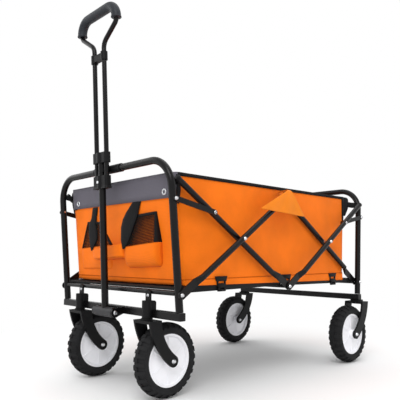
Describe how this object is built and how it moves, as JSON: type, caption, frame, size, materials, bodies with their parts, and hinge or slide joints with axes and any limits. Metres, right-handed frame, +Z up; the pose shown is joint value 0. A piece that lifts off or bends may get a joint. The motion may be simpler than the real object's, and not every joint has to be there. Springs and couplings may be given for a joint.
{
  "type": "folding wagon",
  "caption": "Folding utility wagon: fabric tub in a scissor-linked tube frame, swivel front casters, fixed rear wheels, telescopic pull handle and front pouches.",
  "frame": {"origin": "centre of the whole object's box, on the floor under the wheels", "axes": "+Z up; +Y from the pull handle to the rear; +X to the right when looking along +Y from the handle end"},
  "size_m": [0.566, 0.912, 0.9894],
  "materials": {
    "black_steel": "satin black powder coat",
    "bright_steel": "bright zinc plate",
    "black_plastic": "moulded black",
    "grey_plastic": "moulded dark grey",
    "grip_foam": "soft foam",
    "tyre_rubber": "black rubber",
    "white_plastic": "moulded white",
    "orange_cloth": "coated polyester weave",
    "black_cloth": "coated polyester weave"
  },
  "bodies": {
    "front_frame": {"front_frame_tube": "black_steel", "front_crossbar": "black_steel", "front_base_tube": "black_steel", "caster_housing_left": "black_plastic", "caster_housing_right": "black_plastic", "handle_bracket": "black_steel", "handle_pivot_bolt": "bright_steel", "handle_clip": "black_plastic", "front_pivot_bolts": "bright_steel", "tub_front_panel": "orange_cloth", "pocket_left": "orange_cloth", "pocket_right": "orange_cloth", "tub_left_front": "orange_cloth", "tub_right_front": "orange_cloth", "tub_floor_front": "black_cloth"},
    "rising_front": {"rising_link_front_left": "black_steel", "rising_link_front_right": "black_steel", "front_scissor_bolts": "bright_steel"},
    "falling_front": {"falling_link_front_left": "black_steel", "falling_link_front_right": "black_steel", "centre_cross_tube": "black_steel", "centre_bolts": "bright_steel"},
    "falling_rear": {"falling_link_rear_left": "black_steel", "falling_link_rear_right": "black_steel"},
    "rising_rear": {"rising_link_rear_left": "black_steel", "rising_link_rear_right": "black_steel", "rear_scissor_bolts": "bright_steel"},
    "rear_frame": {"rear_frame_tube": "black_steel", "rear_crossbar": "black_steel", "rear_base_tube": "black_steel", "rear_fork_left": "black_plastic", "rear_fork_right": "black_plastic", "rear_axles": "bright_steel", "rear_pivot_bolts": "bright_steel", "tub_rear_panel": "orange_cloth", "tub_left_rear": "orange_cloth", "tub_right_rear": "orange_cloth", "tub_floor_rear": "black_cloth"},
    "front_stays": {"front_stays": "black_steel"},
    "rear_stays": {"rear_stays": "black_steel"},
    "handle_lower": {"handle_tube": "black_steel", "handle_barrel": "grey_plastic", "guide_collar": "black_plastic"},
    "handle_upper": {"handle_loop": "black_steel", "handle_grip": "grip_foam", "handle_clamp": "black_plastic", "slide_collar": "black_plastic"},
    "lock_button": {"lock_button": "bright_steel"},
    "caster_left": {"caster_fork_left": "black_plastic", "caster_axle_left": "bright_steel"},
    "caster_right": {"caster_fork_right": "black_plastic", "caster_axle_right": "bright_steel"},
    "wheel_front_left": {"tyre_front_left": "tyre_rubber", "hub_front_left": "white_plastic"},
    "wheel_front_right": {"tyre_front_right": "tyre_rubber", "hub_front_right": "white_plastic"},
    "wheel_rear_left": {"tyre_rear_left": "tyre_rubber", "hub_rear_left": "white_plastic"},
    "wheel_rear_right": {"tyre_rear_right": "tyre_rubber", "hub_rear_right": "white_plastic"}
  },
  "joints": [
    {"name": "frame_fold", "type": "hinge", "parent": "front_frame", "child": "rising_front", "pos_m": [0, -0.37376, 0.24863], "axis": [1, 0, 0], "range_deg": [0, 50], "deforming": ["tub_left_front", "tub_right_front", "tub_floor_front", "tub_left_rear", "tub_right_rear", "tub_floor_rear"]},
    {"name": "cross_front", "type": "hinge", "parent": "rising_front", "child": "falling_front", "pos_m": [0, -0.17301, 0.379], "axis": [1, 0, 0], "range_deg": [-90, 0]},
    {"name": "centre_bottom", "type": "hinge", "parent": "falling_front", "child": "falling_rear", "pos_m": [0, 0.02299, 0.25172], "axis": [1, 0, 0], "range_deg": [0, 90]},
    {"name": "cross_rear", "type": "hinge", "parent": "falling_rear", "child": "rising_rear", "pos_m": [0, 0.21899, 0.379], "axis": [1, 0, 0], "range_deg": [-90, 0]},
    {"name": "rear_leg_pivot", "type": "hinge", "parent": "rising_rear", "child": "rear_frame", "pos_m": [0, 0.41974, 0.24863], "axis": [1, 0, 0], "range_deg": [0, 50]},
    {"name": "front_stay_pivot", "type": "hinge", "parent": "front_frame", "child": "front_stays", "pos_m": [0, -0.39269, 0.465], "axis": [1, 0, 0], "range_deg": [0, 95]},
    {"name": "rear_stay_pivot", "type": "hinge", "parent": "rear_frame", "child": "rear_stays", "pos_m": [0, 0.43867, 0.465], "axis": [1, 0, 0], "range_deg": [-95, 0]},
    {"name": "handle_pivot", "type": "hinge", "parent": "front_frame", "child": "handle_lower", "pos_m": [0, -0.40251, 0.195], "axis": [1, 0, 0], "range_deg": [0, 95]},
    {"name": "handle_slide", "type": "slide", "parent": "handle_lower", "child": "handle_upper", "axis": [0, -0.0523, 0.9986], "range_m": [-0.225, 0]},
    {"name": "button_press", "type": "slide", "parent": "handle_upper", "child": "lock_button", "axis": [0, 0.9986, 0.0523], "range_m": [0, 0.003], "stiffness_N_per_m": 300, "springref_m": -0.002},
    {"name": "caster_swivel_left", "type": "hinge", "parent": "front_frame", "child": "caster_left", "pos_m": [-0.152, -0.38651, 0.2], "axis": [0, 0, 1], "continuous": true},
    {"name": "front_wheel_left", "type": "hinge", "parent": "caster_left", "child": "wheel_front_left", "pos_m": [-0.152, -0.32951, 0.088], "axis": [1, 0, 0], "continuous": true},
    {"name": "rear_wheel_left", "type": "hinge", "parent": "rear_frame", "child": "wheel_rear_left", "pos_m": [-0.247, 0.35149, 0.088], "axis": [1, 0, 0], "continuous": true},
    {"name": "caster_swivel_right", "type": "hinge", "parent": "front_frame", "child": "caster_right", "pos_m": [0.152, -0.38651, 0.2], "axis": [0, 0, 1], "continuous": true},
    {"name": "front_wheel_right", "type": "hinge", "parent": "caster_right", "child": "wheel_front_right", "pos_m": [0.152, -0.32951, 0.088], "axis": [1, 0, 0], "continuous": true},
    {"name": "rear_wheel_right", "type": "hinge", "parent": "rear_frame", "child": "wheel_rear_right", "pos_m": [0.247, 0.35149, 0.088], "axis": [1, 0, 0], "continuous": true}
  ],
  "couplings": [
    {"joint": "cross_front", "follows": "frame_fold", "ratio": -1.8},
    {"joint": "centre_bottom", "follows": "frame_fold", "ratio": 1.8},
    {"joint": "cross_rear", "follows": "frame_fold", "ratio": -1.8},
    {"joint": "rear_leg_pivot", "follows": "frame_fold", "ratio": 1},
    {"joint": "front_stay_pivot", "follows": "frame_fold", "ratio": 1.888},
    {"joint": "rear_stay_pivot", "follows": "frame_fold", "ratio": -1.888}
  ]
}
